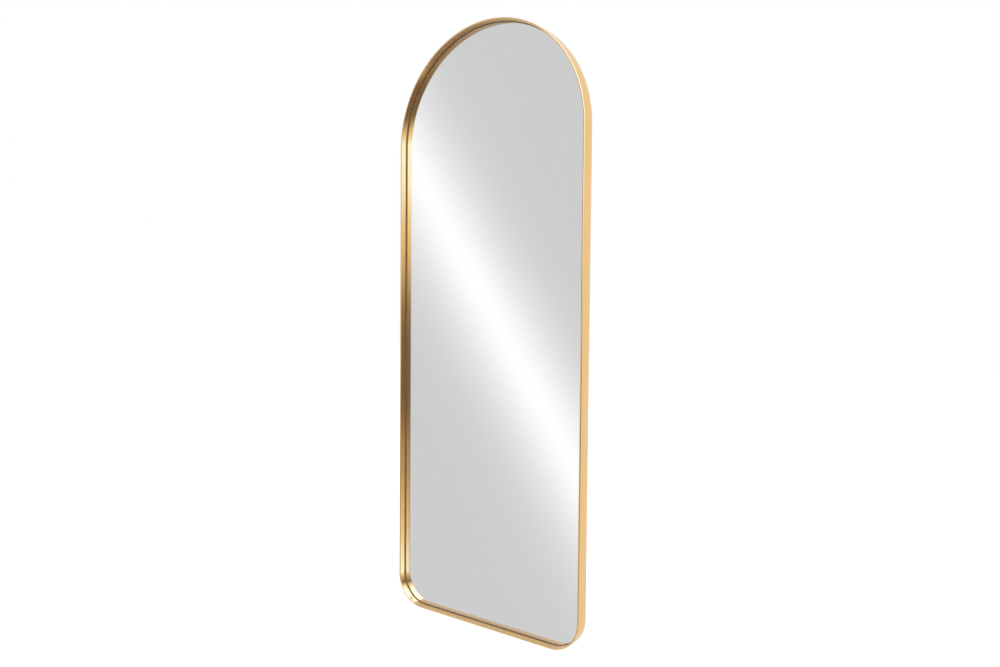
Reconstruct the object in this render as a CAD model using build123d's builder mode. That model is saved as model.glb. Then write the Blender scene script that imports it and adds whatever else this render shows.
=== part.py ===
from build123d import *

import os
from collections import namedtuple
from math import cos, radians, sin, sqrt

# Tall arched wall mirror. X is to the right as seen from the front, Y runs into the wall, Z is up.
# The origin lies on the wall, midway between the two points that the hanging rings bear on.
# All sizes are in millimetres.

# Frame, seen from the front
frame_width = 600
frame_height = 1600
bottom_corner_radius = 83

# Frame section
frame_depth = 36
wall_thickness = 4.5
lip_round = 1.2
rear_edge_bevel = 0.5
flange_width = 16
flange_thickness = 2

# Butt joint in the middle of the bottom run
joint_gap = 0.2
joint_plate_length = 90
joint_plate_thickness = 3
joint_plate_margin = 1
joint_screw_pitch = 22

# Glass and what lies behind it
glass_recess = 18.5
glass_thickness = 4
glass_arris = 0.4
bead_width = 1.5
bead_set_back = 0.5
film_thickness = 0.2
tape_thickness = 1
tape_width = 20
tape_count = 4
tape_end_margin = 40
board_thickness = 5
board_edge_gap = 1

# Cross bars behind the flange
bar_thickness = 2
bar_height = 30
bar_end_gap = 0.5
upper_bar_drop = 70
lower_bar_level = 330
bar_screw_pitch = 16

# Hanging straps and rings
hanger_inset = 100
strap_ply = 1
strap_width = 14
strap_end_drop = 10
strap_screw_drop = 9.5
eye_lift = 6
ring_wire_radius = 1.5
ring_running_gap = 0.05
ring_half_width = 13
ring_corner_radius = 3.5
ring_leg = 15.5

# Rubber pads that stand the mirror off the wall
wall_gap = 3
pad_radius = 7
pad_floor = 3
pad_draft = 6
pad_rim_round = 0.8
pad_bore_gap = 0.6
lower_pad_level = 140
upper_pad_angle = 45

# Screws, by shank and head radius, head height, and the reach, width and depth of the cross recess
Screw = namedtuple("Screw", "shank head height recess_reach recess_width recess_depth")
board_screw = Screw(1.5, 3.0, 1.8, 3.0, 0.7, 1.0)
pad_screw = Screw(1.5, 2.8, 1.8, 3.0, 0.7, 1.0)
joint_screw = Screw(1.5, 2.8, 1.8, 3.0, 0.7, 1.0)
bar_screw = Screw(2.0, 3.6, 2.2, 3.8, 0.9, 1.2)
hanger_screw = Screw(2.5, 4.4, 2.4, 4.6, 1.0, 1.4)
head_round = 0.6
shank_gap = 0.05
clearance_gap = 0.2
board_bite = 4
side_screw_count = 3
arch_screw_angles = (18, 72, 108, 162)

# Layers, from the wall at 0 towards the viewer
wall_y = 0
frame_rear_y = wall_y - wall_gap
lip_y = frame_rear_y - frame_depth
glass_front_y = lip_y + glass_recess
glass_rear_y = glass_front_y + glass_thickness
film_rear_y = glass_rear_y + film_thickness
board_front_y = film_rear_y + tape_thickness
board_rear_y = board_front_y + board_thickness
flange_rear_y = board_rear_y + flange_thickness
bar_rear_y = flange_rear_y + bar_thickness
strap_rear_y = bar_rear_y + 2 * strap_ply
joint_plate_rear_y = flange_rear_y + joint_plate_thickness
eye_y = bar_rear_y + strap_ply + ring_running_gap + ring_wire_radius

# Heights, from the rings' bearing points at 0
ring_reach = ring_leg + ring_half_width - ring_wire_radius
eye_z = -ring_reach
upper_bar_z = eye_z - eye_lift
spring_z = upper_bar_z + upper_bar_drop
bottom_z = spring_z + frame_width / 2 - frame_height
lower_bar_z = bottom_z + lower_bar_level
lower_pad_z = bottom_z + lower_pad_level

# Insets from the frame's outer face
glass_inset = wall_thickness + bead_width
board_inset = wall_thickness + board_edge_gap
flange_inset = wall_thickness + flange_width
flange_middle = wall_thickness + flange_width / 2
bar_half_length = frame_width / 2 - wall_thickness - bar_end_gap


def layer(y):
    """A plane parallel to the wall at depth y. Sketches on it read as seen from the front."""
    return Plane.XZ.offset(-y)


def arch_outline(inset, mode=Mode.ADD):
    """The mirror's outline, drawn in by inset all round, as a face of the sketch it is called in."""
    half = frame_width / 2 - inset
    foot = bottom_z + inset
    corner = bottom_corner_radius - inset
    with BuildLine() as outline:
        CenterArc((0, spring_z), half, 0, 180)
        Line((-half, spring_z), (-half, foot + corner))
        CenterArc((corner - half, foot + corner), corner, 180, 90)
        Line((corner - half, foot), (half - corner, foot))
        CenterArc((half - corner, foot + corner), corner, 270, 90)
        Line((half, foot + corner), (half, spring_z))
    make_face(outline.edges(), mode=mode)


def arch_point(angle, inset):
    """A point on the half-round top, inset from the frame's outer face."""
    radius = frame_width / 2 - inset
    return (radius * cos(radians(angle)), spring_z + radius * sin(radians(angle)))


def holes(places, radius, rear_y, depth):
    """Round holes bored forwards from rear_y into the part being built."""
    with BuildSketch(layer(rear_y)) as mouths:
        with Locations(*places):
            Circle(radius)
    extrude(mouths.sketch, amount=depth, mode=Mode.SUBTRACT)


def pan_screws(places, seat_y, grip, size):
    """Pan-head screws driven forwards from the rear: heads on seat_y, shanks of length grip."""
    with BuildPart() as screws:
        with BuildSketch(layer(seat_y)):
            with Locations(*places):
                Circle(size.head)
        extrude(amount=-size.height)
        fillet(screws.edges().filter_by(GeomType.CIRCLE).group_by(Axis.Y)[-1], head_round)
        with BuildSketch(layer(seat_y + size.height)):
            with Locations(*places):
                Rectangle(size.recess_reach, size.recess_width)
                Rectangle(size.recess_width, size.recess_reach)
        extrude(amount=size.recess_depth, mode=Mode.SUBTRACT)
        with BuildSketch(layer(seat_y)):
            with Locations(*places):
                Circle(size.shank)
        extrude(amount=grip)
    return screws.part


# Where things sit on the flange and the bars
side_x = frame_width / 2 - flange_middle
side_pitch = (upper_bar_z - lower_bar_z) / (side_screw_count + 1)
side_screw_z = [lower_bar_z + side_pitch * (index + 1) for index in range(side_screw_count)]
side_screw_z.append((lower_bar_z + lower_pad_z) / 2)
foot_x = (joint_plate_length / 2 + frame_width / 2 - bottom_corner_radius) / 2
board_screw_places = [(side * side_x, z) for z in side_screw_z for side in (-1, 1)]
board_screw_places += [arch_point(angle, flange_middle) for angle in arch_screw_angles]
board_screw_places += [(side * foot_x, bottom_z + flange_middle) for side in (-1, 1)]

bar_screw_places = [
    (side * side_x, bar_z + step * bar_screw_pitch / 2)
    for bar_z in (upper_bar_z, lower_bar_z)
    for side in (-1, 1)
    for step in (-1, 1)
]
joint_screw_places = [
    (side * (joint_plate_length / 2 - step * joint_screw_pitch), bottom_z + flange_middle)
    for side in (-1, 1)
    for step in (0.5, 1.5)
]
pad_places = {
    "upper_left": arch_point(180 - upper_pad_angle, flange_middle),
    "upper_right": arch_point(upper_pad_angle, flange_middle),
    "lower_left": (-side_x, lower_pad_z),
    "lower_right": (side_x, lower_pad_z),
}
hanger_x = {"left": hanger_inset - frame_width / 2, "right": frame_width / 2 - hanger_inset}
hanger_screw_places = [(x, eye_z - strap_screw_drop) for x in hanger_x.values()]


# Frame: a band bent round the glass, with a flange inside it for the board to be screwed to
with BuildPart() as frame_band:
    with BuildSketch(layer(frame_rear_y)):
        arch_outline(0)
        arch_outline(wall_thickness, mode=Mode.SUBTRACT)
    extrude(amount=frame_depth)
    fillet(frame_band.edges().group_by(Axis.Y)[0], lip_round)
    chamfer(frame_band.edges().group_by(Axis.Y)[-1], rear_edge_bevel)
    with BuildSketch(layer(flange_rear_y)):
        arch_outline(wall_thickness)
        arch_outline(flange_inset, mode=Mode.SUBTRACT)
    extrude(amount=flange_thickness)
    holes(board_screw_places, board_screw.shank + clearance_gap, flange_rear_y, flange_thickness)
    holes(pad_places.values(), pad_screw.shank + clearance_gap, flange_rear_y, flange_thickness)
    holes(bar_screw_places, bar_screw.shank + shank_gap, flange_rear_y, flange_thickness)
    holes(joint_screw_places, joint_screw.shank + shank_gap, flange_rear_y, flange_thickness)
    with BuildSketch(layer(frame_rear_y)):
        with Locations((0, bottom_z)):
            Rectangle(joint_gap, 2 * flange_inset)
    extrude(amount=frame_depth, mode=Mode.SUBTRACT)

# Plate behind the flange that ties the butt joint together
with BuildPart() as joint_plate:
    with BuildSketch(layer(joint_plate_rear_y)):
        with Locations((0, bottom_z + flange_middle)):
            RectangleRounded(joint_plate_length, flange_width - 2 * joint_plate_margin, joint_plate_margin)
    extrude(amount=joint_plate_thickness)
    holes(joint_screw_places, joint_screw.shank + clearance_gap, joint_plate_rear_y, joint_plate_thickness)

# Glass, with its sharp edges seamed off
with BuildPart() as mirror_glass:
    with BuildSketch(layer(glass_rear_y)):
        arch_outline(glass_inset)
    extrude(amount=glass_thickness)
    chamfer(mirror_glass.edges().group_by(Axis.Y)[0], glass_arris)

# Splinter film on the back of the glass
with BuildPart() as safety_film:
    with BuildSketch(layer(film_rear_y)):
        arch_outline(glass_inset)
    extrude(amount=film_thickness)

# Black bead that fills the gap between glass and frame, set back a little from the glass's face
with BuildPart() as edge_bead:
    with BuildSketch(layer(film_rear_y)):
        arch_outline(wall_thickness)
        arch_outline(glass_inset, mode=Mode.SUBTRACT)
    extrude(amount=film_rear_y - glass_front_y - bead_set_back)

# Foam tape strips between film and board, each as tall as the arch lets it be
tape_pitch = (frame_width - 2 * glass_inset) / tape_count
tape_x = [(index - (tape_count - 1) / 2) * tape_pitch for index in range(tape_count)]
with BuildPart() as tape_strips:
    with BuildSketch(layer(board_front_y)):
        for x in tape_x:
            outer_x = abs(x) + tape_width / 2
            top_z = spring_z + sqrt((frame_width / 2 - glass_inset) ** 2 - outer_x**2) - tape_end_margin
            foot_z = bottom_z + glass_inset + tape_end_margin
            with Locations((x, (top_z + foot_z) / 2)):
                Rectangle(tape_width, top_z - foot_z)
    extrude(amount=tape_thickness)

# Fibreboard, with pilot holes for the screws that come through the flange
with BuildPart() as back_board:
    with BuildSketch(layer(board_rear_y)):
        arch_outline(board_inset)
    extrude(amount=board_thickness)
    holes(board_screw_places, board_screw.shank + shank_gap, board_rear_y, board_bite)
    holes(pad_places.values(), pad_screw.shank + shank_gap, board_rear_y, board_bite)

# Cross bars on the flange's rear face, the upper one tapped for the hanger straps
with BuildPart() as upper_cross_bar:
    with BuildSketch(layer(bar_rear_y)):
        with Locations((0, upper_bar_z)):
            Rectangle(2 * bar_half_length, bar_height)
    extrude(amount=bar_thickness)
    holes(bar_screw_places[:4], bar_screw.shank + clearance_gap, bar_rear_y, bar_thickness)
    holes(hanger_screw_places, hanger_screw.shank + shank_gap, bar_rear_y, bar_thickness)

with BuildPart() as lower_cross_bar:
    with BuildSketch(layer(bar_rear_y)):
        with Locations((0, lower_bar_z)):
            Rectangle(2 * bar_half_length, bar_height)
    extrude(amount=bar_thickness)
    holes(bar_screw_places[4:], bar_screw.shank + clearance_gap, bar_rear_y, bar_thickness)


def hanger_strap(x):
    """A strap folded double round the ring's bar: an eye on top, two plies with a round end below it."""
    eye_radius = eye_y - bar_rear_y
    with BuildPart() as strap:
        with BuildSketch(layer(strap_rear_y)):
            with Locations((x, eye_z - strap_end_drop / 2)):
                Rectangle(strap_width, strap_end_drop)
            with Locations((x, eye_z - strap_end_drop)):
                Circle(strap_width / 2)
        extrude(amount=2 * strap_ply)
        with BuildSketch(Plane.YZ.offset(x - strap_width / 2)):
            with Locations((eye_y, eye_z)):
                Circle(eye_radius)
        extrude(amount=strap_width)
        with BuildSketch(Plane.YZ.offset(x - strap_width / 2)):
            with Locations((eye_y, eye_z)):
                Circle(ring_wire_radius + ring_running_gap)
        extrude(amount=strap_width, mode=Mode.SUBTRACT)
        holes([(x, eye_z - strap_screw_drop)], hanger_screw.shank + clearance_gap, strap_rear_y, 2 * strap_ply)
    return strap.part


def hanger_ring(x):
    """A D-ring of round wire that hangs from its straight bar, which lies in the strap's eye."""
    bar_half = ring_half_width - ring_corner_radius
    with BuildPart() as ring:
        with BuildLine(layer(eye_y)) as loop:
            Line((x, eye_z), (x + bar_half, eye_z))
            CenterArc((x + bar_half, eye_z - ring_corner_radius), ring_corner_radius, 90, -90)
            Line((x + ring_half_width, eye_z - ring_corner_radius), (x + ring_half_width, eye_z - ring_leg))
            CenterArc((x, eye_z - ring_leg), ring_half_width, 0, -180)
            Line((x - ring_half_width, eye_z - ring_leg), (x - ring_half_width, eye_z - ring_corner_radius))
            CenterArc((x - bar_half, eye_z - ring_corner_radius), ring_corner_radius, 180, -90)
            Line((x - bar_half, eye_z), (x, eye_z))
        with BuildSketch(Plane(origin=loop.line @ 0, z_dir=loop.line % 0)):
            Circle(ring_wire_radius)
        sweep()
    return ring.part


def wall_pad(place):
    """A rubber pad: slightly tapered, with a rounded rim and a bore that sinks its screw's head."""
    with BuildPart() as pad:
        with BuildSketch(layer(flange_rear_y)):
            with Locations(place):
                Circle(pad_radius)
        extrude(amount=flange_rear_y - wall_y, taper=pad_draft)
        fillet(pad.edges().group_by(Axis.Y)[-1], pad_rim_round)
        head_depth = wall_y - flange_rear_y - pad_floor
        holes([place], pad_screw.head + pad_bore_gap, wall_y, head_depth)
        holes([place], pad_screw.shank + clearance_gap, wall_y, wall_y - flange_rear_y)
    return pad.part


board_screws = pan_screws(board_screw_places, flange_rear_y, flange_thickness + board_bite, board_screw)
pad_screw_grip = pad_floor + flange_thickness + board_bite
pad_screws = pan_screws(pad_places.values(), flange_rear_y + pad_floor, pad_screw_grip, pad_screw)
joint_screw_grip = joint_plate_thickness + flange_thickness
joint_screws = pan_screws(joint_screw_places, joint_plate_rear_y, joint_screw_grip, joint_screw)
bar_screw_grip = bar_thickness + flange_thickness
cross_bar_screws = pan_screws(bar_screw_places, bar_rear_y, bar_screw_grip, bar_screw)
hanger_screw_grip = 2 * strap_ply + bar_thickness
hanger_screws = pan_screws(hanger_screw_places, strap_rear_y, hanger_screw_grip, hanger_screw)

pieces = {
    "frame_band": frame_band.part,
    "joint_plate": joint_plate.part,
    "joint_screws": joint_screws,
    "mirror_glass": mirror_glass.part,
    "safety_film": safety_film.part,
    "edge_bead": edge_bead.part,
    "tape_strips": tape_strips.part,
    "back_board": back_board.part,
    "board_screws": board_screws,
    "upper_cross_bar": upper_cross_bar.part,
    "lower_cross_bar": lower_cross_bar.part,
    "cross_bar_screws": cross_bar_screws,
    "hanger_screws": hanger_screws,
    "pad_screws": pad_screws,
}
for name, x in hanger_x.items():
    pieces["hanger_strap_" + name] = hanger_strap(x)
    pieces["hanger_ring_" + name] = hanger_ring(x)
for name, place in pad_places.items():
    pieces["wall_pad_" + name] = wall_pad(place)

os.makedirs("parts", exist_ok=True)
for name, piece in pieces.items():
    piece.label = name
    export_step(piece, "parts/" + name + ".step")
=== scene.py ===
from collections import namedtuple
from math import asin, atan2, cos, hypot, pi, radians, sin, sqrt, tan

import bmesh
import bpy
from mathutils import Matrix, Vector


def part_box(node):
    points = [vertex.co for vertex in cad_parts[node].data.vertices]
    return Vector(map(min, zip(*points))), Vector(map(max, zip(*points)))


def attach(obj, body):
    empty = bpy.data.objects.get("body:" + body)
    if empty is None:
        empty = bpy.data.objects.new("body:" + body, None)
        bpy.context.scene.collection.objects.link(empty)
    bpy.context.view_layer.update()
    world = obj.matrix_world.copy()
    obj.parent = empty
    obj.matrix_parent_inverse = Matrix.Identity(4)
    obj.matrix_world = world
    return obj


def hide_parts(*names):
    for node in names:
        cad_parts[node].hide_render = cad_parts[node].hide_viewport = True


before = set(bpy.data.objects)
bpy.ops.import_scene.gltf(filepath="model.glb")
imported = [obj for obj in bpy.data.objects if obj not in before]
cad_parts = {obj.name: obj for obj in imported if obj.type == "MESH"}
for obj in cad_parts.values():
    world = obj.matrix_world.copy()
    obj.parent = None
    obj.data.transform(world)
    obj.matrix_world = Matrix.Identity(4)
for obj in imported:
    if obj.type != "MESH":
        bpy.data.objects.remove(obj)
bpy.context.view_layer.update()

# Tall arched mirror in a brushed gold band. Metres, in the frame's own axes: X right, Y into the wall, Z up.
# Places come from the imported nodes' boxes; only what no box tells is named here.
MM = 0.001

# Two points nearer than this are one point
SAME_PLACE = 1e-7
# Edges that turn more than these, in radians, are eased: on flat plates, and on the folded strap
CORNER_TURN = 1
FOLD_TURN = 1.2
# Edges that turn less than this, in degrees, are shaded smooth, unless the piece has its own value
SMOOTH = 35

# Band
CORNER_RADIUS = 83 * MM
WALL_THICKNESS = 4.5 * MM
FLANGE_WIDTH = 16 * MM
FLANGE_THICKNESS = 2 * MM
LIP_ROUND = 1.2 * MM
REAR_ROUND = 0.5 * MM
FLANGE_ROUND = 0.3 * MM
JOINT_GAP = 0.2 * MM
ARCH_STEPS = 128
CORNER_STEPS = 28
ROUND_STEPS = 5
BAND_SMOOTH = 30

# Glass, bead, film, tape and board
SEAT_GAP = 0.05 * MM
GLASS_ARRIS = 0.4 * MM
REAR_FACING = 0.9
SIDE_FACING = 0.1
BEAD_HOLLOW = 0.25 * MM
BEAD_ROUND = 0.3 * MM
TAPE_WIDTH = 20 * MM
TAPE_COUNT = 4
TAPE_END_MARGIN = 40 * MM
TAPE_EASE = 0.15 * MM
BOARD_EASE = 0.3 * MM
BOARD_EASE_STEPS = 2

# Plates
PLATE_EASE = 0.35 * MM
PLATE_EASE_STEPS = 3
PLATE_CORNER = 1 * MM
BAR_CORNER = 0.8 * MM

# Hangers
STRAP_PLY = 1 * MM
EYE_RADIUS = 2.55 * MM
STRAP_BEND = 1 * MM
STRAP_EASE = 0.12 * MM
STRAP_EASE_STEPS = 2
STRAP_EYE_STEPS = 24
STRAP_BEND_STEPS = 8
STRAP_END_STEPS = 10
STRAP_END_SHARE = 0.998
STRAP_SMOOTH = 40
STRAP_SCREW_DROP = 9.5 * MM
WIRE_RADIUS = 1.5 * MM
RING_CORNER = 3.5 * MM
RING_LEG = 15.5 * MM
RING_CORNER_STEPS = 8
RING_ROUND_STEPS = 32
WIRE_STEPS = 20
WIRE_SMOOTH = 60

# Wall pads
PAD_DRAFT = radians(6)
PAD_RIM = 0.8 * MM
PAD_FLOOR = 3 * MM
PAD_HEAD_BORE = 3.4 * MM
PAD_BORE = 1.7 * MM
PAD_MOUTH = 0.3 * MM
PAD_RIM_STEPS = 5
PAD_STEPS = 48

# Screws, by shank and head radius, head height, and the reach, width and depth of the cross recess
Screw = namedtuple("Screw", "shank head height reach width depth")
BOARD_SCREW = Screw(1.5 * MM, 3.0 * MM, 1.8 * MM, 3.0 * MM, 0.7 * MM, 1.0 * MM)
PAD_SCREW = Screw(1.5 * MM, 2.8 * MM, 1.8 * MM, 3.0 * MM, 0.7 * MM, 1.0 * MM)
BAR_SCREW = Screw(2.0 * MM, 3.6 * MM, 2.2 * MM, 3.8 * MM, 0.9 * MM, 1.2 * MM)
HANGER_SCREW = Screw(2.5 * MM, 4.4 * MM, 2.4 * MM, 4.6 * MM, 1.0 * MM, 1.4 * MM)
SCREW_EASE = 0.2 * MM
RECESS_MARGIN = 0.25 * MM
RECESS_TAPER = 0.62
HEAD_SIDE_SHARE = 0.35
SCREW_STEPS = 32
DOME_STEPS = 6
BOARD_BITE = 4 * MM
BAR_SCREW_PITCH = 16 * MM
JOINT_SCREW_PITCH = 22 * MM
JOINT_SCREW_PITCHES = (0.5, 1.5)
SIDE_SCREW_COUNT = 3
ARCH_SCREW_ANGLES = (18, 72, 108, 162)
TURN_BETWEEN_SCREWS = radians(137.5)

BAND_LOW, BAND_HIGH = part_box("frame_band")
GLASS_LOW, GLASS_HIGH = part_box("mirror_glass")
BOARD_LOW, BOARD_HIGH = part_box("back_board")
PLATE_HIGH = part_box("joint_plate")[1]
UPPER_BAR_LOW, UPPER_BAR_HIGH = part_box("upper_cross_bar")
HALF_WIDTH = (BAND_HIGH.x - BAND_LOW.x) / 2
SPRING_Z = BAND_HIGH.z - HALF_WIDTH
FOOT_Z = BAND_LOW.z
GLASS_INSET = HALF_WIDTH - GLASS_HIGH.x
BOARD_INSET = HALF_WIDTH - BOARD_HIGH.x
FLANGE_REAR = BOARD_HIGH.y + FLANGE_THICKNESS
SIDE_X = HALF_WIDTH - WALL_THICKNESS - FLANGE_WIDTH / 2
FOOT_SCREW_Z = FOOT_Z + HALF_WIDTH - SIDE_X


# Mesh helpers

def placed(name, bm, materials):
    """Turns a bmesh into an object of the scene, and lets the bmesh go."""
    mesh = bpy.data.meshes.new(name)
    bm.to_mesh(mesh)
    bm.free()
    for material in materials:
        mesh.materials.append(material)
    piece = bpy.data.objects.new(name, mesh)
    bpy.context.scene.collection.objects.link(piece)
    return piece


def finished(name, bm, materials, body, node, smooth_angle=SMOOTH):
    """Turns a bmesh into a piece that rides on a body and takes its finishes, and hides the CAD node it
    stands for.
    """
    piece = placed(name, bm, materials)
    if smooth_angle:
        piece.data.shade_smooth()
        piece.data.set_sharp_from_angle(angle=radians(smooth_angle))
    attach(piece, body)
    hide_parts(node)


def tidy(bm):
    """Merges doubles and turns every face outwards."""
    bmesh.ops.remove_doubles(bm, verts=bm.verts, dist=SAME_PLACE)
    bmesh.ops.recalc_face_normals(bm, faces=bm.faces)


def only(geometry, wanted):
    """The vertices, edges or faces in what an operator gives back."""
    return [g for g in geometry if isinstance(g, wanted)]


def extrude_on(bm, edges, move):
    """Carries a section's edges along a straight run and returns the edges at its end."""
    out = bmesh.ops.extrude_edge_only(bm, edges=edges)["geom"]
    verts = set(only(out, bmesh.types.BMVert))
    bmesh.ops.translate(bm, verts=list(verts), vec=move)
    return [e for e in only(out, bmesh.types.BMEdge) if verts.issuperset(e.verts)]


def turn_on(bm, edges, centre, angle, steps, axis=(0, -1, 0)):
    """Carries a section's edges round a turn and returns the edges at its end."""
    verts = list({v for e in edges for v in e.verts})
    spun = bmesh.ops.spin(
        bm, geom=verts + edges, cent=centre, axis=axis, angle=angle, steps=steps, use_duplicate=False,
    )
    return only(spun["geom_last"], bmesh.types.BMEdge)


def closed_loop(bm, points):
    """Edges from point to point and back to the first."""
    verts = [bm.verts.new(p) for p in points]
    return [bm.edges.new((a, b)) for a, b in zip(verts, verts[1:] + verts[:1])]


def open_chain(bm, points):
    verts = [bm.verts.new(p) for p in points]
    return [bm.edges.new((a, b)) for a, b in zip(verts, verts[1:])]


def lathe(bm, edges, steps):
    """Turns a profile once round the Y axis."""
    verts = list({v for e in edges for v in e.verts})
    bmesh.ops.spin(
        bm, geom=verts + edges, cent=(0, 0, 0), axis=(0, 1, 0), angle=2 * pi, steps=steps,
        use_merge=True, use_duplicate=False,
    )


def bevelled(bm, edges, offset, segments):
    bmesh.ops.bevel(
        bm, geom=edges, offset=offset, offset_type="OFFSET", segments=segments, profile=0.5,
        affect="EDGES", material=-1,
    )


def rounded(bm, verts, radius, segments):
    bmesh.ops.bevel(
        bm, geom=verts, offset=radius, offset_type="OFFSET", segments=segments, profile=0.5,
        affect="VERTICES", material=-1,
    )


# The mirror's outline, which every layer of it follows

def arch_turns():
    """Centres, angles and steps of the turns along the outline, from the bottom joint round to it again."""
    side = HALF_WIDTH - CORNER_RADIUS
    corner_z = FOOT_Z + CORNER_RADIUS
    return (
        ((side, 0, corner_z), pi / 2, CORNER_STEPS),
        ((0, 0, SPRING_Z), pi, ARCH_STEPS),
        ((-side, 0, corner_z), pi / 2, CORNER_STEPS),
    )


def straight_runs(gap):
    """Straight moves before each turn and after the last one."""
    side = HALF_WIDTH - CORNER_RADIUS - gap / 2
    rise = SPRING_Z - FOOT_Z - CORNER_RADIUS
    return ((side, 0, 0), (0, 0, rise), (0, 0, -rise), (side, 0, 0))


def swept_section(bm, corners, rounds, gap):
    """Sweeps a section of (inset, y) corners, each rounded by its own radius, round the whole mirror."""
    verts = [bm.verts.new((gap / 2, y, FOOT_Z + inset)) for inset, y in corners]
    bm.faces.new(verts)
    for radius in sorted({r for r in rounds if r}):
        rounded(bm, [v for v, r in zip(verts, rounds) if r == radius], radius, ROUND_STEPS)
    edges = list(bm.edges)
    if not gap:
        bmesh.ops.delete(bm, geom=list(bm.faces), context="FACES_ONLY")
    runs = straight_runs(gap)
    for run, (centre, angle, steps) in zip(runs, arch_turns()):
        edges = extrude_on(bm, edges, run)
        edges = turn_on(bm, edges, centre, angle, steps)
    edges = extrude_on(bm, edges, runs[-1])
    if gap:
        bmesh.ops.contextual_create(bm, geom=edges)
    tidy(bm)


def path_along(x, z):
    """Distance along the outline, by the frame's outer face, from the bottom joint round to it again."""
    side = HALF_WIDTH - CORNER_RADIUS
    corner_z = FOOT_Z + CORNER_RADIUS
    quarter = CORNER_RADIUS * pi / 2
    rise = SPRING_Z - corner_z
    if z > SPRING_Z:
        return side + quarter + rise + HALF_WIDTH * atan2(z - SPRING_Z, x)
    total = 2 * (side + quarter + rise) + HALF_WIDTH * pi
    if abs(x) < side and z < corner_z:
        half_way = abs(x)
    elif z < corner_z:
        half_way = side + CORNER_RADIUS * atan2(abs(x) - side, corner_z - z)
    else:
        half_way = side + quarter + z - corner_z
    return half_way if x > 0 else total - half_way


def inset_of(x, z):
    """How far a point lies inside the frame's outer face."""
    side = HALF_WIDTH - CORNER_RADIUS
    corner_z = FOOT_Z + CORNER_RADIUS
    if z > SPRING_Z:
        return HALF_WIDTH - hypot(x, z - SPRING_Z)
    if abs(x) > side and z < corner_z:
        return CORNER_RADIUS - hypot(abs(x) - side, corner_z - z)
    return min(HALF_WIDTH - abs(x), z - FOOT_Z)


def outline_plate(inset, front_y, rear_y):
    """A flat plate of the mirror's outline, drawn in by inset, between two depths."""
    bm = bmesh.new()
    half = HALF_WIDTH - inset
    moves = straight_runs(0)
    end = bm.verts.new((0, rear_y, FOOT_Z + inset))
    for move, (centre, angle, steps) in zip(moves, arch_turns()):
        out = bmesh.ops.extrude_vert_indiv(bm, verts=[end])
        bmesh.ops.translate(bm, verts=out["verts"], vec=move)
        spun = bmesh.ops.spin(
            bm, geom=out["verts"], cent=centre, axis=(0, -1, 0), angle=angle, steps=steps,
            use_duplicate=False,
        )
        end = only(spun["geom_last"], bmesh.types.BMVert)[0]
    out = bmesh.ops.extrude_vert_indiv(bm, verts=[end])
    bmesh.ops.translate(bm, verts=out["verts"], vec=moves[-1])
    bmesh.ops.remove_doubles(bm, verts=bm.verts, dist=SAME_PLACE)
    face = bmesh.ops.contextual_create(bm, geom=list(bm.edges))["faces"]
    out = bmesh.ops.extrude_face_region(bm, geom=face)["geom"]
    bmesh.ops.translate(bm, verts=only(out, bmesh.types.BMVert), vec=(0, front_y - rear_y, 0))
    tidy(bm)
    return bm


def rims_at(bm, y):
    return [e for e in bm.edges if all(abs(v.co.y - y) < SAME_PLACE for v in e.verts)]


def depth_of(edge):
    return abs((edge.verts[0].co - edge.verts[1].co).y)


def flat_plate(bm, low, high, corner, ease):
    """Adds a flat plate between two corners, with rounded corners and eased edges."""
    before = set(bm.edges)
    verts = bmesh.ops.create_cube(bm, size=1)["verts"]
    bmesh.ops.scale(bm, verts=verts, vec=high - low)
    bmesh.ops.translate(bm, verts=verts, vec=(low + high) / 2)
    if corner:
        uprights = [e for e in bm.edges if e not in before and depth_of(e) > SAME_PLACE]
        bevelled(bm, uprights, corner, ROUND_STEPS)
    rims = [e for e in bm.edges if e not in before and depth_of(e) < SAME_PLACE]
    sharp = [e for e in rims if e.is_manifold and e.calc_face_angle() > CORNER_TURN]
    bevelled(bm, sharp, ease, PLATE_EASE_STEPS)


# Shader helpers

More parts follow.
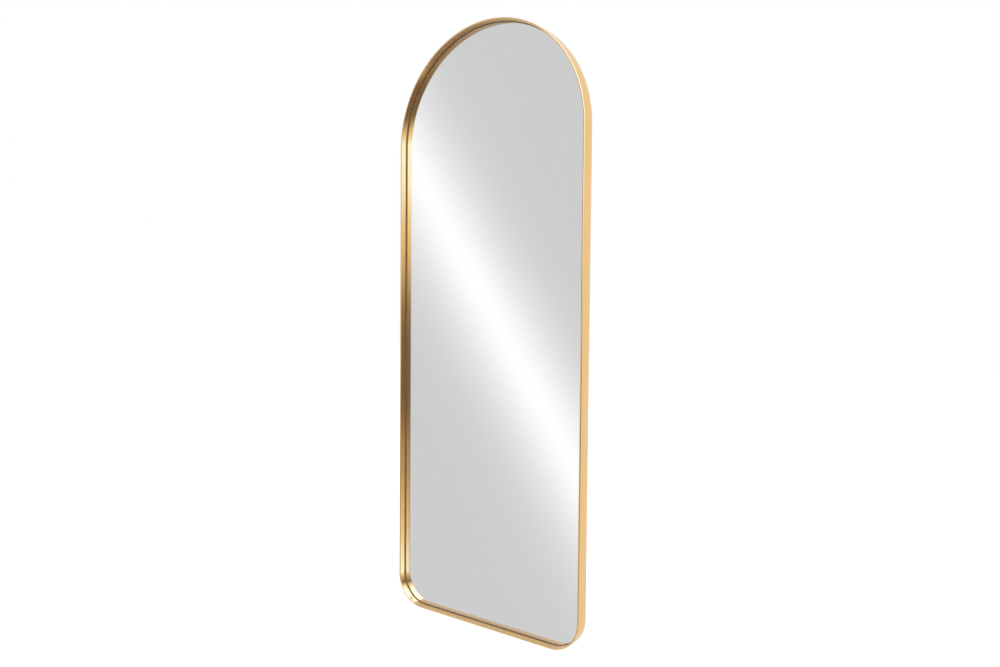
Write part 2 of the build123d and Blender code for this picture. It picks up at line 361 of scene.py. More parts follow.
class Sock:
    """Wraps a shader socket so that sums on values read as sums."""

    def __init__(self, tree, socket=None):
        self.tree = tree
        self.socket = socket

    def node(self, type_name, inputs=None, out=0, **settings):
        """Adds a node: its settings first, then the values or links of its sockets."""
        node = self.tree.nodes.new(type_name)
        for key, value in settings.items():
            setattr(node, key, value)
        for key, value in (inputs or {}).items():
            if isinstance(value, Sock):
                self.tree.links.new(value.socket, node.inputs[key])
            else:
                node.inputs[key].default_value = value
        return Sock(self.tree, node.outputs[out])

    def maths(self, operation, *values):
        return self.node("ShaderNodeMath", dict(enumerate(values)), operation=operation)

    def __add__(self, other):
        return self.maths("ADD", self, other)

    def __sub__(self, other):
        return self.maths("SUBTRACT", self, other)

    def __rsub__(self, other):
        return self.maths("SUBTRACT", other, self)

    def __mul__(self, other):
        return self.maths("MULTIPLY", self, other)

    def __truediv__(self, other):
        return self.maths("DIVIDE", self, other)

    def __pow__(self, other):
        return self.maths("POWER", self, other)

    __radd__ = __add__
    __rmul__ = __mul__

    def stretched(self, x, y, z):
        """This vector, scaled along each axis."""
        return self.node("ShaderNodeVectorMath", {0: self, 1: (x, y, z)}, operation="MULTIPLY")

    def along(self, axis):
        return self.node("ShaderNodeVectorMath", {0: self, 1: axis}, out="Value", operation="DOT_PRODUCT")

    def noise(self, scale, detail=2.0, roughness=0.5):
        inputs = {"Vector": self, "Scale": scale, "Detail": detail, "Roughness": roughness}
        return self.node("ShaderNodeTexNoise", inputs)

    def cells(self, scale):
        """Distance from the nearest of many scattered points."""
        return self.node("ShaderNodeTexVoronoi", {"Vector": self, "Scale": scale})

    def ranged(self, low, high, to_low=0.0, to_high=1.0, soft=False):
        inputs = {"Value": self, "From Min": low, "From Max": high, "To Min": to_low, "To Max": to_high}
        return self.node("ShaderNodeMapRange", inputs, interpolation_type="SMOOTHSTEP" if soft else "LINEAR")

    def between(self, first, second):
        """A colour between two colours, by this value from 0 to 1."""
        return self.node("ShaderNodeMix", {0: self, 6: first, 7: second}, out=2, data_type="RGBA")

    def bumped(self, strength, distance):
        inputs = {"Height": self, "Strength": strength, "Distance": distance}
        return self.node("ShaderNodeBump", inputs)


def finish(name, **constants):
    """A new material; returns it, its Principled shader, and the object's own coordinates to build from."""
    made = bpy.data.materials.new(name)
    made.use_nodes = True
    tree = made.node_tree
    tree.nodes.clear()
    shader = tree.nodes.new("ShaderNodeBsdfPrincipled")
    out = tree.nodes.new("ShaderNodeOutputMaterial")
    tree.links.new(shader.outputs[0], out.inputs[0])
    for key, value in constants.items():
        shader.inputs[key.replace("_", " ")].default_value = value
    return made, shader, Sock(tree).node("ShaderNodeTexCoord", out="Object")


def feed(shader, **values):
    """Links values into the shader's sockets."""
    for key, value in values.items():
        value.tree.links.new(value.socket, shader.inputs[key.replace("_", " ")])


def tone(red, green, blue):
    return (red, green, blue, 1)


# Finishes: each one's tones and roughness from end to end of its pattern, and its bump's strength and depth

GOLD_TONES = (tone(0.895, 0.595, 0.262), tone(0.955, 0.66, 0.318))
GOLD_ROUGHNESS = (0.14, 0.2)
GLASS_TONES = (tone(0.996, 1, 0.998), tone(1, 1, 1))
GLASS_IOR = 1.52
SILVER_TONES = (tone(0.957, 0.96, 0.963), tone(0.962, 0.963, 0.963))
# The glass's ground edge: dark brown painted shade, standing for the shadow in the gap round the glass
SEAM_PAINTED_SHADE_TONES = (tone(0.4, 0.26, 0.125), tone(0.52, 0.34, 0.165))
SEAM_ROUGHNESS = (0.55, 0.75)
# The bead: its dark brown partly its own colour and partly painted shade of the gap between glass and wall
BEAD_AND_PAINTED_SHADE_TONES = (tone(0.2, 0.12, 0.05), tone(0.28, 0.17, 0.075))
BEAD_ROUGHNESS = (0.45, 0.62)
BEAD_GLOSS = 0.2
BEAD_BUMP = (0.3, 0.1 * MM)
FILM_TONES = (tone(0.52, 0.54, 0.55), tone(0.72, 0.73, 0.73))
FILM_ROUGHNESS = (0.35, 0.6)
THREADS_PER_METRE = 700.0
FILM_BUMP = (0.4, 0.05 * MM)
FOAM_TONES = (tone(0.55, 0.55, 0.53), tone(0.82, 0.82, 0.8))
FOAM_ROUGHNESS = (0.75, 0.9)
FOAM_BUMP = (0.5, 0.2 * MM)
BOARD_TONES = (tone(0.17, 0.095, 0.045), tone(0.37, 0.23, 0.12))
BOARD_ROUGHNESS = (0.62, 0.82)
BOARD_BUMP = (0.22, 0.08 * MM)
ZINC_TONES = (tone(0.53, 0.545, 0.555), tone(0.68, 0.69, 0.685))
ZINC_ROUGHNESS = (0.28, 0.4)
ZINC_BUMP = (0.15, 0.03 * MM)
SCREW_TONES = (tone(0.56, 0.55, 0.52), tone(0.74, 0.73, 0.7))
SCREW_ROUGHNESS = (0.2, 0.38)
SCREW_BUMP = (0.2, 0.05 * MM)
WIRE_TONES = (tone(0.6, 0.57, 0.52), tone(0.78, 0.75, 0.7))
WIRE_ROUGHNESS = (0.14, 0.3)
WIRE_BUMP = (0.08, 0.03 * MM)
RUBBER_TONES = (tone(0.016, 0.016, 0.017), tone(0.045, 0.044, 0.043))
RUBBER_ROUGHNESS = (0.55, 0.78)
RUBBER_BUMP = (0.3, 0.08 * MM)

# The stretch of a noise's values that a finish spreads over its tones
WIDE = (0.3, 0.7)
MIDDLE = (0.35, 0.65)


def brushed_gold():
    """Satin gold, brushed along the band: the streaks follow the band's own UV map."""
    made, shader, place = finish("satin_gold_along_band", Metallic=1.0)
    along = place.node("ShaderNodeUVMap", uv_map="band")
    fine = along.stretched(4, 1500, 1).noise(1.0, 3.0)
    broad = along.stretched(1.5, 240, 1).noise(1.0, 2.0)
    streaks = fine * 0.45 + broad * 0.55
    feed(
        shader,
        Base_Color=streaks.ranged(*MIDDLE).between(*GOLD_TONES),
        Roughness=streaks.ranged(*MIDDLE, *GOLD_ROUGHNESS),
    )
    return made


def clear_glass():
    made, shader, place = finish("clear_float_glass", Transmission_Weight=1.0, IOR=GLASS_IOR, Roughness=0.0)
    feed(shader, Base_Color=place.noise(2.5, 1.0).ranged(*WIDE).between(*GLASS_TONES))
    return made


def silvering():
    """Silver on the back of the glass; the tone drifts by less than the eye sees."""
    made, shader, place = finish("silver_back", Metallic=1.0, Roughness=0.0)
    feed(shader, Base_Color=place.noise(3.0, 1.0).ranged(*WIDE).between(*SILVER_TONES))
    return made


def seamed_edge_painted_shade():
    """The glass's ground edge, painted dark brown as the shade of the gap between glass and wall."""
    made, shader, place = finish("glass_edge_painted_shade")
    grind = place.noise(900, 3.0)
    feed(
        shader,
        Base_Color=grind.ranged(*WIDE).between(*SEAM_PAINTED_SHADE_TONES),
        Roughness=grind.ranged(*WIDE, *SEAM_ROUGHNESS),
    )
    return made


def bead_and_painted_shade():
    """Set bead, matt, with the slight waves of a drawn fillet; its dark brown is partly its own colour and
    partly painted shade of the gap between glass and wall.
    """
    made, shader, place = finish("drawn_bead_and_painted_shade", Specular_IOR_Level=BEAD_GLOSS)
    waves = place.noise(70, 2.0)
    feed(
        shader,
        Base_Color=waves.ranged(*WIDE).between(*BEAD_AND_PAINTED_SHADE_TONES),
        Roughness=waves.ranged(*WIDE, *BEAD_ROUGHNESS),
        Normal=place.noise(220, 2.0).bumped(*BEAD_BUMP),
    )
    return made


def woven_film():
    """Splinter film: a fine square scrim in a pale plastic skin."""
    made, shader, place = finish("woven_splinter_film")
    counts = [place.along(axis) * THREADS_PER_METRE for axis in ((1, 0, 0), (0, 0, 1))]
    threads = [count.maths("PINGPONG", count, 0.5).ranged(0.3, 0.5) for count in counts]
    weave = threads[0].maths("MAXIMUM", *threads)
    feed(
        shader,
        Base_Color=weave.between(*FILM_TONES),
        Roughness=weave.ranged(0, 1, *FILM_ROUGHNESS),
        Normal=weave.bumped(*FILM_BUMP),
    )
    return made


def foam_tape():
    made, shader, place = finish("white_foam_tape")
    pores = place.cells(1400)
    feed(
        shader,
        Base_Color=pores.ranged(0.1, 0.6).between(*FOAM_TONES),
        Roughness=pores.ranged(0, 1, *FOAM_ROUGHNESS),
        Normal=pores.bumped(*FOAM_BUMP),
    )
    return made


def pressed_board():
    """Brown fibreboard: short felted fibres in several browns, and broad clouds in the pressing."""
    made, shader, place = finish("pressed_fibreboard")
    felt = place.noise(2600, 4.0, 0.7)
    shreds = place.stretched(0.3, 1, 1).noise(1500, 2.0, 0.6)
    chips = place.stretched(1, 1, 0.3).noise(1300, 2.0, 0.6)
    clouds = place.noise(14, 4.0, 0.6)
    brown = (felt * 0.34 + shreds * 0.25 + chips * 0.25 + clouds * 0.16).ranged(0.38, 0.62)
    feed(
        shader,
        Base_Color=brown.between(*BOARD_TONES),
        Roughness=felt.ranged(*WIDE, *BOARD_ROUGHNESS),
        Normal=(felt * 0.5 + shreds * 0.5).bumped(*BOARD_BUMP),
    )
    return made


def zinc_sheet():
    """Zinc-plated strip: rolled along X, with cloudy passivation."""
    made, shader, place = finish("zinc_plated_strip", Metallic=1.0)
    rolled = place.stretched(12, 1400, 1400).noise(1.0, 3.0)
    clouds = place.noise(90, 5.0, 0.7)
    spots = place.cells(420)
    shade = rolled * 0.5 + clouds * 0.3 + spots * 0.2
    feed(
        shader,
        Base_Color=shade.ranged(0.35, 0.62).between(*ZINC_TONES),
        Roughness=clouds.ranged(*WIDE, *ZINC_ROUGHNESS),
        Normal=rolled.bumped(*ZINC_BUMP),
    )
    return made


def screw_steel():
    """Bright plated screws, a little uneven from the barrel."""
    made, shader, place = finish("plated_screw_steel", Metallic=1.0)
    dents = place.noise(700, 3.0)
    tint = place.noise(130, 2.0)
    feed(
        shader,
        Base_Color=tint.ranged(*WIDE).between(*SCREW_TONES),
        Roughness=dents.ranged(*WIDE, *SCREW_ROUGHNESS),
        Normal=dents.bumped(*SCREW_BUMP),
    )
    return made


def ring_steel():
    """Nickelled wire, rubbed brighter where the grain of the drawing shows."""
    made, shader, place = finish("nickelled_wire", Metallic=1.0)
    grain = place.noise(1100, 2.0)
    worn = place.noise(180, 3.0)
    feed(
        shader,
        Base_Color=worn.ranged(*MIDDLE).between(*WIRE_TONES),
        Roughness=(grain * 0.5 + worn * 0.5).ranged(*MIDDLE, *WIRE_ROUGHNESS),
        Normal=grain.bumped(*WIRE_BUMP),
    )
    return made


def pad_rubber():
    made, shader, place = finish("moulded_pad_rubber")
    grain = place.noise(1800, 3.0)
    bloom = place.noise(160, 2.0)
    feed(
        shader,
        Base_Color=bloom.ranged(0.35, 0.7).between(*RUBBER_TONES),
        Roughness=grain.ranged(*WIDE, *RUBBER_ROUGHNESS),
        Normal=grain.bumped(*RUBBER_BUMP),
    )
    return made


# Frame and glass

def gold_band(gold):
    """The frame: a wall with a rounded lip and a flange inside it, swept from side to side of its joint."""
    lip_y, rear_y = BAND_LOW.y, BAND_HIGH.y
    wall, tip = WALL_THICKNESS, WALL_THICKNESS + FLANGE_WIDTH
    flange_front = BOARD_HIGH.y
    corners = (
        (0, rear_y), (0, lip_y), (wall, lip_y), (wall, flange_front),
        (tip, flange_front), (tip, FLANGE_REAR), (wall, FLANGE_REAR), (wall, rear_y),
    )
    rounds = (REAR_ROUND, LIP_ROUND, LIP_ROUND, 0, FLANGE_ROUND, FLANGE_ROUND, 0, REAR_ROUND)
    bm = bmesh.new()
    swept_section(bm, corners, rounds, JOINT_GAP)
    uv = bm.loops.layers.uv.new("band")
    for face in bm.faces:
        for loop in face.loops:
            x, y, z = loop.vert.co
            loop[uv].uv = (path_along(x, z), y - inset_of(x, z))
    finished("gold_frame_band", bm, [gold], "mirror", "frame_band", BAND_SMOOTH)


def glass_plate():
    """Clear glass on a silvered back, with its sharp front edge seamed off."""
    bm = outline_plate(GLASS_INSET + SEAT_GAP, GLASS_LOW.y, GLASS_HIGH.y - SEAT_GAP)
    bevelled(bm, rims_at(bm, GLASS_LOW.y), GLASS_ARRIS, 1)
    for face in bm.faces:
        if face.normal.y > REAR_FACING:
            face.material_index = 1
        elif abs(face.normal.y) < SIDE_FACING:
            face.material_index = 2
    # Slot 2, the side faces, is the ground edge, painted dark brown as the shade of the gap
    finishes = [clear_glass(), silvering(), seamed_edge_painted_shade()]
    finished("silvered_glass", bm, finishes, "mirror", "mirror_glass", None)


def edge_bead():
    """The bead between glass and wall, drawn hollow along its face."""
    low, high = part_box("edge_bead")
    near = WALL_THICKNESS + SEAT_GAP
    far = GLASS_INSET - SEAT_GAP
    middle = (near + far) / 2
    corners = ((near, high.y), (near, low.y), (middle, low.y + BEAD_HOLLOW), (far, low.y), (far, high.y))
    bm = bmesh.new()
    swept_section(bm, corners, (0, 0, BEAD_ROUND, 0, 0), 0)
    # The bead's dark brown finish is partly painted shade of the gap between glass and wall
    finished("glazing_bead_and_painted_shade", bm, [bead_and_painted_shade()], "mirror", "edge_bead")


def splinter_film():
    low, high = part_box("safety_film")
    bm = outline_plate(GLASS_INSET, low.y, high.y)
    finished("splinter_film", bm, [woven_film()], "mirror", "safety_film", None)


def tape_strips():
    """Foam tape between film and board, each strip as tall as the arch lets it be."""
    low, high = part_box("tape_strips")
    glass_half = HALF_WIDTH - GLASS_INSET
    foot_z = FOOT_Z + GLASS_INSET + TAPE_END_MARGIN
    bm = bmesh.new()
    for index in range(TAPE_COUNT):
        x = (index - (TAPE_COUNT - 1) / 2) * 2 * glass_half / TAPE_COUNT
        left, right = x - TAPE_WIDTH / 2, x + TAPE_WIDTH / 2
        outer_x = max(abs(left), abs(right))
        top_z = SPRING_Z + sqrt(glass_half ** 2 - outer_x ** 2) - TAPE_END_MARGIN
        flat_plate(bm, Vector((left, low.y, foot_z)), Vector((right, high.y, top_z)), 0, TAPE_EASE)
    tidy(bm)
    finished("foam_tape_strips", bm, [foam_tape()], "mirror", "tape_strips")


def back_board():
    bm = outline_plate(BOARD_INSET, BOARD_LOW.y, BOARD_HIGH.y)
    bevelled(bm, rims_at(bm, BOARD_LOW.y) + rims_at(bm, BOARD_HIGH.y), BOARD_EASE, BOARD_EASE_STEPS)
    finished("fibre_back_board", bm, [pressed_board()], "mirror", "back_board")


# Bars, joint plate and screws

def steel_plate(name, node, corner, zinc):
    bm = bmesh.new()
    flat_plate(bm, *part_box(node), corner, PLATE_EASE)
    tidy(bm)
    finished(name, bm, [zinc], "mirror", node)


def pan_screw(size, grip):
    """A pan-head screw at the origin: its seat at y 0, its head behind it, its shank running forwards."""
    bm = bmesh.new()
    flat_radius = size.reach / 2 + RECESS_MARGIN
    side_y = size.height * HEAD_SIDE_SHARE
    dome = [
        (flat_radius + (size.head - flat_radius) * cos(t), side_y + (size.height - side_y) * sin(t))
        for t in (pi / 2 * step / DOME_STEPS for step in range(DOME_STEPS + 1))
    ]
    profile = [
        (0, -grip), (size.shank - SCREW_EASE, -grip), (size.shank, SCREW_EASE - grip), (size.shank, 0),
        (size.head - SCREW_EASE, 0), (size.head, SCREW_EASE), *dome,
    ]
    lathe(bm, open_chain(bm, [(radius, y, 0) for radius, y in profile]), SCREW_STEPS)
    bmesh.ops.remove_doubles(bm, verts=bm.verts, dist=SAME_PLACE)
    rim = [e for e in bm.edges if e.is_boundary]
    reach, half = size.reach / 2, size.width / 2
    arms = []
    for turn in range(4):
        quarter = Matrix.Rotation(turn * pi / 2, 3, "Y")
        corners = ((reach, half), (reach, -half), (half, -half))
        arms += [quarter @ Vector((x, size.height, z)) for x, z in corners]
    mouth = closed_loop(bm, arms)
    bmesh.ops.triangle_fill(bm, use_beauty=True, edges=rim + mouth)
    floor = extrude_on(bm, mouth, (0, -size.depth, 0))
    floor_verts = list({v for e in floor for v in e.verts})
    bmesh.ops.scale(bm, verts=floor_verts, vec=(RECESS_TAPER, 1, RECESS_TAPER))
    bmesh.ops.contextual_create(bm, geom=floor)
    tidy(bm)
    return bm


def screw_set(name, node, size, grip, seats, steel):
    """Screws of one size at their seats, each turned as its driver left it."""
    one = bpy.data.meshes.new(name + "_one")
    single = pan_screw(size, grip)
    single.to_mesh(one)
    single.free()
    bm = bmesh.new()
    for index, seat in enumerate(seats):
        done = set(bm.verts)
        bm.from_mesh(one)
        fresh = [v for v in bm.verts if v not in done]
        turn = Matrix.Rotation(index * TURN_BETWEEN_SCREWS, 3, "Y")
        bmesh.ops.rotate(bm, verts=fresh, cent=(0, 0, 0), matrix=turn)
        bmesh.ops.translate(bm, verts=fresh, vec=seat)
    bpy.data.meshes.remove(one)
    finished(name, bm, [steel], "mirror", node)


def pair(x, y, z):
    """The same place left and right of the middle."""
    return [Vector((-x, y, z)), Vector((x, y, z))]


def middle_of(node):
    low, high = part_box(node)
    return (low + high) / 2


def board_seats():
    """Screws up both sides between the bars and below them, round the arch and along the foot."""
    upper_z = middle_of("upper_cross_bar").z
    lower_z = middle_of("lower_cross_bar").z
    pitch = (upper_z - lower_z) / (SIDE_SCREW_COUNT + 1)
    levels = [lower_z + pitch * (index + 1) for index in range(SIDE_SCREW_COUNT)]
    levels.append((lower_z + middle_of("wall_pad_lower_left").z) / 2)
    seats = [seat for z in levels for seat in pair(SIDE_X, FLANGE_REAR, z)]
    for angle in ARCH_SCREW_ANGLES:
        turn = radians(angle)
        seats.append(Vector((SIDE_X * cos(turn), FLANGE_REAR, SPRING_Z + SIDE_X * sin(turn))))
    foot_x = (PLATE_HIGH.x + HALF_WIDTH - CORNER_RADIUS) / 2
    return seats + pair(foot_x, FLANGE_REAR, FOOT_SCREW_Z)


def bar_seats():
    half = BAR_SCREW_PITCH / 2
    middles = [middle_of(node).z for node in ("upper_cross_bar", "lower_cross_bar")]
    return [seat for z in middles for dz in (-half, half) for seat in pair(SIDE_X, UPPER_BAR_HIGH.y, z + dz)]


def joint_seats():
    places = [PLATE_HIGH.x - pitches * JOINT_SCREW_PITCH for pitches in JOINT_SCREW_PITCHES]
    return [seat for x in places for seat in pair(x, PLATE_HIGH.y, FOOT_SCREW_Z)]


def pad_seats():
    corners = [row + "_" + side for row in ("upper", "lower") for side in ("left", "right")]
    places = [middle_of("wall_pad_" + corner) for corner in corners]
    return [Vector((place.x, FLANGE_REAR + PAD_FLOOR, place.z)) for place in places]


def hanger_seats():
    seats = []
    for side in ("left", "right"):
        low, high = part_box("hanger_strap_" + side)
        eye_z = high.z - EYE_RADIUS
        seats.append(Vector(((low.x + high.x) / 2, low.y + 2 * STRAP_PLY, eye_z - STRAP_SCREW_DROP)))
    return seats


# Hangers and pads

def hanger_strap(side, zinc):
    """A strip folded double round the ring's bar: drawn as its outer face, then given its thickness."""
    node = "hanger_strap_" + side
    low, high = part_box(node)
    eye_y, eye_z = high.y - EYE_RADIUS, high.z - EYE_RADIUS
    rear_y = low.y + 2 * STRAP_PLY
    bend_y = rear_y + STRAP_BEND
    lean = asin((bend_y - eye_y) / (EYE_RADIUS + STRAP_BEND))
    bend_z = eye_z - cos(lean) * (EYE_RADIUS + STRAP_BEND)
    bm = bmesh.new()
    start = open_chain(bm, [(low.x, low.y, low.z), (high.x, low.y, low.z)])
    edges = extrude_on(bm, start, (0, 0, eye_z - low.z))
    edges = turn_on(bm, edges, (0, eye_y, eye_z), 3 * pi / 2 - lean, STRAP_EYE_STEPS, (-1, 0, 0))
    edges = turn_on(bm, edges, (0, bend_y, bend_z), pi / 2 - lean, STRAP_BEND_STEPS, (1, 0, 0))
    extrude_on(bm, edges, (0, 0, low.z - bend_z))
    ends = [v for v in bm.verts if abs(v.co.z - low.z) < SAME_PLACE]
    rounded(bm, ends, (high.x - low.x) / 2 * STRAP_END_SHARE, STRAP_END_STEPS)
    bmesh.ops.recalc_face_normals(bm, faces=bm.faces)
    first = min(bm.faces, key=lambda f: f.calc_center_median().y)
    if first.normal.y > 0:
        bmesh.ops.reverse_faces(bm, faces=bm.faces)
    bmesh.ops.solidify(bm, geom=list(bm.faces), thickness=STRAP_PLY)
    tidy(bm)
    sharp = [e for e in bm.edges if e.is_manifold and e.calc_face_angle() > FOLD_TURN]
    bevelled(bm, sharp, STRAP_EASE, STRAP_EASE_STEPS)
    finished("hanger_strap_folded_" + side, bm, [zinc], "mirror", node, STRAP_SMOOTH)


def hanger_ring(side, wire):
    """A D-ring of round wire, swept from the middle of its straight bar round to it again."""
    node = "hanger_ring_" + side
    low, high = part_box(node)
    x, y, top = (low.x + high.x) / 2, (low.y + high.y) / 2, high.z - WIRE_RADIUS
    half = (high.x - low.x) / 2 - WIRE_RADIUS
    bar_half = half - RING_CORNER
    leg = RING_LEG - RING_CORNER
    bm = bmesh.new()
    facing = Matrix.Translation((x, y, top)) @ Matrix.Rotation(pi / 2, 4, "Y")
    bmesh.ops.create_circle(bm, radius=WIRE_RADIUS, segments=WIRE_STEPS, matrix=facing)
    edges = extrude_on(bm, list(bm.edges), (-bar_half, 0, 0))
    edges = turn_on(bm, edges, (x - bar_half, 0, top - RING_CORNER), pi / 2, RING_CORNER_STEPS)
    edges = extrude_on(bm, edges, (0, 0, -leg))
    edges = turn_on(bm, edges, (x, 0, top - RING_LEG), pi, RING_ROUND_STEPS)
    edges = extrude_on(bm, edges, (0, 0, leg))
    edges = turn_on(bm, edges, (x + bar_half, 0, top - RING_CORNER), pi / 2, RING_CORNER_STEPS)
    extrude_on(bm, edges, (-bar_half, 0, 0))
    tidy(bm)
    finished("hanger_wire_ring_" + side, bm, [wire], "ring_" + side, node, WIRE_SMOOTH)


def wall_pad(corner, rubber):
    """A tapered rubber foot with a rounded rim and a bore that sinks its screw."""
    node = "wall_pad_" + corner
    low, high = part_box(node)
    foot = (high.x - low.x) / 2
    depth = high.y - low.y
    face = foot - depth * tan(PAD_DRAFT)
    arc = [pi / 2 * step / PAD_RIM_STEPS for step in range(PAD_RIM_STEPS + 1)]
    rim = [(face - PAD_RIM + PAD_RIM * cos(t), depth - PAD_RIM + PAD_RIM * sin(t)) for t in arc]
    profile = [
        (PAD_BORE, 0), (foot, 0), *rim, (PAD_HEAD_BORE + PAD_MOUTH, depth),
        (PAD_HEAD_BORE, depth - PAD_MOUTH), (PAD_HEAD_BORE, PAD_FLOOR), (PAD_BORE, PAD_FLOOR),
    ]
    bm = bmesh.new()
    lathe(bm, closed_loop(bm, [(radius, y, 0) for radius, y in profile]), PAD_STEPS)
    tidy(bm)
    middle = (low + high) / 2
    bmesh.ops.translate(bm, verts=bm.verts, vec=(middle.x, low.y, middle.z))
    finished("rubber_" + node, bm, [rubber], "mirror", node)


def build_mirror():
    gold_band(brushed_gold())
    glass_plate()
    edge_bead()
    splinter_film()
    tape_strips()
    back_board()
    zinc, steel, wire, rubber = zinc_sheet(), screw_steel(), ring_steel(), pad_rubber()
    steel_plate("joint_tie_plate", "joint_plate", PLATE_CORNER, zinc)
    steel_plate("steel_bar_upper", "upper_cross_bar", BAR_CORNER, zinc)
    steel_plate("steel_bar_lower", "lower_cross_bar", BAR_CORNER, zinc)
    screws = (
        ("screws_in_board", "board_screws", BOARD_SCREW, FLANGE_THICKNESS + BOARD_BITE, board_seats()),
        ("screws_in_joint", "joint_screws", PAD_SCREW, PLATE_HIGH.y - BOARD_HIGH.y, joint_seats()),
        ("screws_in_bars", "cross_bar_screws", BAR_SCREW, UPPER_BAR_HIGH.y - BOARD_HIGH.y, bar_seats()),
        ("screws_in_pads", "pad_screws", PAD_SCREW, PAD_FLOOR + FLANGE_THICKNESS + BOARD_BITE, pad_seats()),
        (
            "screws_in_straps", "hanger_screws", HANGER_SCREW,
            2 * STRAP_PLY + UPPER_BAR_HIGH.y - UPPER_BAR_LOW.y, hanger_seats(),
        ),
    )
    for name, node, size, grip, seats in screws:
        screw_set(name, node, size, grip, seats, steel)
    for side in ("left", "right"):
        hanger_strap(side, zinc)
        hanger_ring(side, wire)
        for row in ("upper", "lower"):
            wall_pad(row + "_" + side, rubber)


# Studio: camera solved from the photograph's outline, pale floor, soft light

CAMERA_PLACE = Vector((1.2456, -1.6589, -0.3972))
CAMERA_YAW = radians(36.310)
CAMERA_PITCH = radians(2.248)
CAMERA_ROLL = radians(0.486)
CAMERA_LENS = 27.948
SENSOR_WIDTH = 36

# The slanting light in the glass: the great circle it lies on, its width and how it fades
BAND_NORMAL = (0.6977, -0.5307, 0.4812)
BAND_OFFSET = 0.0012
BAND_WIDTH = radians(3.0)
BAND_FALL = 1.65
BAND_PERIOD = radians(45)
SURROUND_LIGHT = tone(0.634, 0.634, 0.634)
BAND_LIGHT = tone(1.045, 1.045, 1.045)

WHITE = tone(1, 1, 1)
LIGHT_ABOVE = tone(1.4, 1.4, 1.4)
LIGHT_BELOW = tone(0.7, 0.7, 0.7)
PALE_SIDE = tone(0.65, 0.65, 0.65)
LEVEL_SIDE = tone(0.78, 0.77, 0.76)
PALE_BACK = tone(0.9, 0.88, 0.855)
DARK_SIDE = tone(0.2, 0.158, 0.128)
DARK_LOW = tone(0.32, 0.28, 0.27)
LOW_SKY = tone(1.12, 1.38, 1.65)
HIGH_SKY = tone(2.1, 2.4, 3.2)
COOL_LIGHT = tone(1.25, 1.55, 2.0)
WARM_LIGHT = tone(0.97, 0.88, 0.68)
WARM_LOW = tone(0.56, 0.47, 0.35)
CROWN_LIGHT = tone(0.46, 0.45, 0.46)
FLOOR_TONE = tone(0.9, 0.9, 0.9)
FLOOR_ROUGHNESS = 0.8
FLOOR_DROP = 0.35
FLOOR_HALF = 14
# The azimuth, from the mirror's front, that the brighter side of the surround faces
RIGHT_SIDE = 60
# Shares of a unit direction over which one tone of the surround gives way to the next
FLOOR_FADE = (-0.8, -0.3)
HORIZON_FADE = (-0.1, 0.08)
SKY_FADE = (0.1, 0.6)
LEFT_FADE = (0.1, 0.26)
RIGHT_FADE = (0.02, 0.2)
BACK_FADE = (0.1, 0.5)

# Cards: the x they stand off from, azimuth, distance, half width, low and high z, (z, colour) up the height
Card = namedtuple("Card", "name start azimuth distance half_width low_z high_z tones")
CARDS = (
    Card(
        "tall_card", -HALF_WIDTH, 44, 3.5, 1.25, -3.0, 1.3,
        ((-0.6, DARK_SIDE), (0.15, WARM_LIGHT), (0.5, COOL_LIGHT)),
    ),
    Card(
        "low_card", -HALF_WIDTH, 50, 1.5, 0.42, -2.6, -0.8,
        ((-1.65, COOL_LIGHT), (-1.47, WARM_LIGHT), (-1.18, WARM_LOW), (-0.85, DARK_SIDE)),
    ),
    Card(
        "crown_card", -0.05, -25, 0.6, 0.27, -0.45, 0.31,
        ((-0.3, DARK_LOW), (0.2, CROWN_LIGHT)),
    ),
)


def photo_camera():
    ahead = Vector((
        -sin(CAMERA_YAW) * cos(CAMERA_PITCH), cos(CAMERA_YAW) * cos(CAMERA_PITCH), -sin(CAMERA_PITCH)
    ))
    level = Vector((cos(CAMERA_YAW), sin(CAMERA_YAW), 0))
    upright = level.cross(ahead)
    right = cos(CAMERA_ROLL) * level + sin(CAMERA_ROLL) * upright
    up = cos(CAMERA_ROLL) * upright - sin(CAMERA_ROLL) * level
    data = bpy.data.cameras.new("photo_camera")
    data.lens = CAMERA_LENS
    data.sensor_width = SENSOR_WIDTH
    camera = bpy.data.objects.new("photo_camera", data)
    turn = Matrix((right, up, -ahead)).transposed()
    camera.matrix_world = Matrix.Translation(CAMERA_PLACE) @ turn.to_4x4()
    bpy.context.scene.collection.objects.link(camera)
    bpy.context.scene.camera = camera


def glass_alone(sock):
    """1 for a ray that only the mirror glass has turned, 0 for one that has met the gold as well."""
    # Glass alone turns a ray an odd number of times, between its silver and its front face
    through = sock.node("ShaderNodeLightPath", out="Transmission Depth").ranged(0, 1)
    off_polish = sock.node("ShaderNodeLightPath", out="Is Singular Ray")
    bounces = sock.node("ShaderNodeLightPath", out="Glossy Depth")
    even = bounces.maths("PINGPONG", bounces - 1, 1)
    return through.maths("MAXIMUM", through, off_polish) * (1 - even)


def at_azimuth(degrees):
    """Level direction, turned to the right of the mirror's front."""
    return (sin(radians(degrees)), -cos(radians(degrees)), 0)


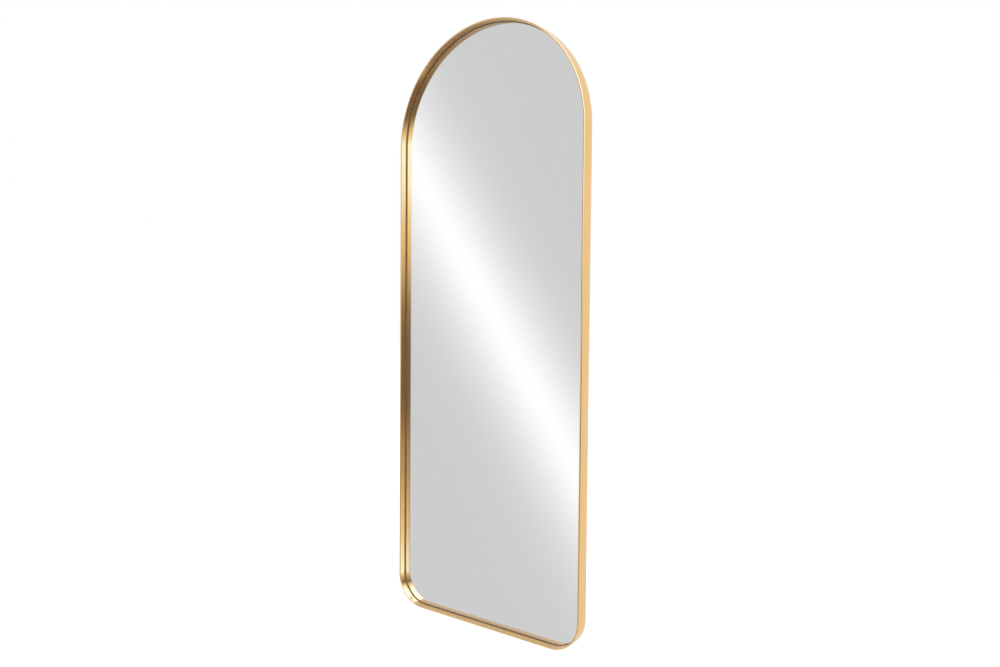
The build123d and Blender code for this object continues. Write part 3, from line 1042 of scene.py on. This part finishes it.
def studio_world():
    """White behind the object, grey with a slanting light for the glass, a brighter sky for the gold."""
    world = bpy.data.worlds.new("studio")
    bpy.context.scene.world = world
    world.use_nodes = True
    tree = world.node_tree
    tree.nodes.clear()
    direction = Sock(tree).node("ShaderNodeTexCoord", out="Generated")
    height = direction.along((0, 0, 1))

    slant = direction.maths("ARCSINE", direction.along(BAND_NORMAL)) + BAND_OFFSET
    away = slant.maths("PINGPONG", slant, BAND_PERIOD / 2)
    fall = (away / BAND_WIDTH) ** BAND_FALL
    band = fall.maths("EXPONENT", fall * -1)
    in_glass = band.between(SURROUND_LIGHT, BAND_LIGHT)

    floor_side = height.ranged(*FLOOR_FADE).between(DARK_LOW, DARK_SIDE)
    sky_side = height.ranged(*SKY_FADE).between(LOW_SKY, HIGH_SKY)
    right = height.ranged(*HORIZON_FADE, soft=True).between(floor_side, sky_side)
    gate = direction.along(at_azimuth(RIGHT_SIDE)).ranged(*RIGHT_FADE, soft=True)
    left = height.ranged(*LEFT_FADE).between(LEVEL_SIDE, PALE_SIDE)
    round_gold = gate.between(left, right)
    round_gold = direction.along((0, 1, 0)).ranged(*BACK_FADE, soft=True).between(round_gold, PALE_BACK)

    mirrored = glass_alone(direction).between(round_gold, in_glass)
    soft = height.ranged(-1, 1).between(LIGHT_BELOW, LIGHT_ABOVE)
    scattered = direction.node("ShaderNodeLightPath", out="Is Diffuse Ray")
    seen = direction.node("ShaderNodeLightPath", out="Is Camera Ray")
    colour = seen.between(scattered.between(mirrored, soft), WHITE)
    background = direction.node("ShaderNodeBackground", {"Color": colour, "Strength": 1.0})
    out = tree.nodes.new("ShaderNodeOutputWorld")
    tree.links.new(background.socket, out.inputs[0])


def soft_card(card):
    """A glowing card that only the gold shows."""
    bm = bmesh.new()
    verts = bmesh.ops.create_grid(bm, x_segments=1, y_segments=1, size=1)["verts"]
    start = Vector((card.start, BAND_LOW.y, (card.high_z + card.low_z) / 2))
    bmesh.ops.scale(bm, verts=verts, vec=(card.half_width, (card.high_z - card.low_z) / 2, 1))
    bmesh.ops.rotate(bm, verts=verts, cent=(0, 0, 0), matrix=Matrix.Rotation(pi / 2, 3, "X"))
    bmesh.ops.rotate(bm, verts=verts, cent=(0, 0, 0), matrix=Matrix.Rotation(radians(card.azimuth), 3, "Z"))
    bmesh.ops.translate(bm, verts=verts, vec=start + card.distance * Vector(at_azimuth(card.azimuth)))
    made = bpy.data.materials.new(card.name)
    made.use_nodes = True
    made.cycles.emission_sampling = "NONE"
    tree = made.node_tree
    tree.nodes.clear()
    place = Sock(tree).node("ShaderNodeTexCoord", out="Object")
    z = place.along((0, 0, 1))
    colour = card.tones[0][1]
    for (low, _), (high, upper) in zip(card.tones, card.tones[1:]):
        colour = z.ranged(low, high, soft=True).between(colour, upper)
    shine = place.node("ShaderNodeEmission", {"Color": colour, "Strength": 1.0})
    clear = place.node("ShaderNodeBsdfTransparent")
    mix = place.node("ShaderNodeMixShader", {0: glass_alone(place), 1: shine, 2: clear})
    out = tree.nodes.new("ShaderNodeOutputMaterial")
    tree.links.new(mix.socket, out.inputs[0])
    shown = placed(card.name, bm, [made])
    shown.visible_camera = False
    shown.visible_diffuse = False
    shown.visible_shadow = False


def pale_floor():
    bm = bmesh.new()
    floor = bmesh.ops.create_grid(bm, x_segments=1, y_segments=1, size=FLOOR_HALF)["verts"]
    bmesh.ops.translate(bm, verts=floor, vec=(0, 0, FOOT_Z - FLOOR_DROP))
    paint = finish("floor_paint", Base_Color=FLOOR_TONE, Roughness=FLOOR_ROUGHNESS)[0]
    shown = placed("pale_floor", bm, [paint])
    shown.visible_glossy = False
    shown.visible_transmission = False


build_mirror()
photo_camera()
studio_world()
pale_floor()
for card in CARDS:
    soft_card(card)
bpy.context.scene.view_settings.view_transform = "Standard"
